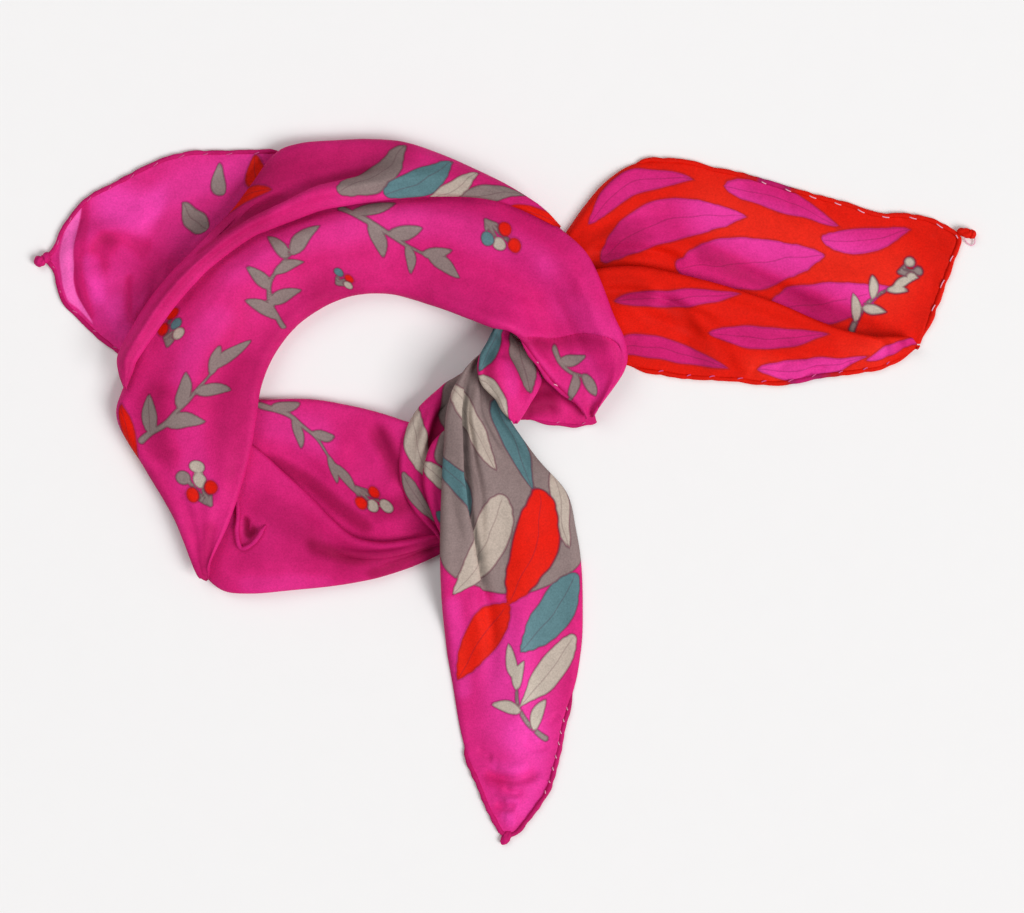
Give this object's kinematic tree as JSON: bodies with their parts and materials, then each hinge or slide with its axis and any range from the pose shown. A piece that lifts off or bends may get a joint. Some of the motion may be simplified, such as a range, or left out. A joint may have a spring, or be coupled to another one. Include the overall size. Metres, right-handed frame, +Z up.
{
  "type": "silk square scarf",
  "caption": "Small silk square scarf with rolled hems, folded into a loose roll, knotted into a neck-sized ring and laid flat with its tails and a corner spread out.",
  "frame": {"origin": "Middle of the footprint at table level, straight below the centre of the overall box.", "axes": "+Z up, away from the table. +X runs from the flat corner at the left to the end of the right tail. -Y is the way the hanging tail points."},
  "size_m": [0.3474, 0.2576, 0.0208],
  "materials": {
    "silk_pink": "dyed silk twill, soft sheen",
    "silk_single": "dyed silk in a single layer, lighter over a white table",
    "silk_hidden": "inner layers of dyed silk",
    "silk_red": "dyed silk twill, soft sheen",
    "silk_taupe": "dyed silk twill, soft sheen",
    "hem": "rolled silk hem with small whip stitches"
  },
  "bodies": {
    "root": {"left_corner": "silk_single", "left_corner_hem": "hem", "left_corner_nub": "hem", "knot_core": "silk_hidden", "under_flap": "silk_pink", "under_flap_hem": "hem", "right_tail": "silk_red", "right_tail_hem": "hem", "right_tail_nub": "hem", "right_front": "silk_red", "right_front_hem": "hem", "lower_band": "silk_pink", "lower_fold": "silk_pink", "ring_core": "silk_hidden", "knot_wrap": "silk_taupe", "knot_side": "silk_pink", "tail_core": "silk_hidden", "hanging_tail": "silk_taupe", "hanging_tail_hem": "hem", "knot_loop": "silk_pink", "ring_band": "silk_pink", "outer_fold": "silk_pink"}
  },
  "joints": []
}
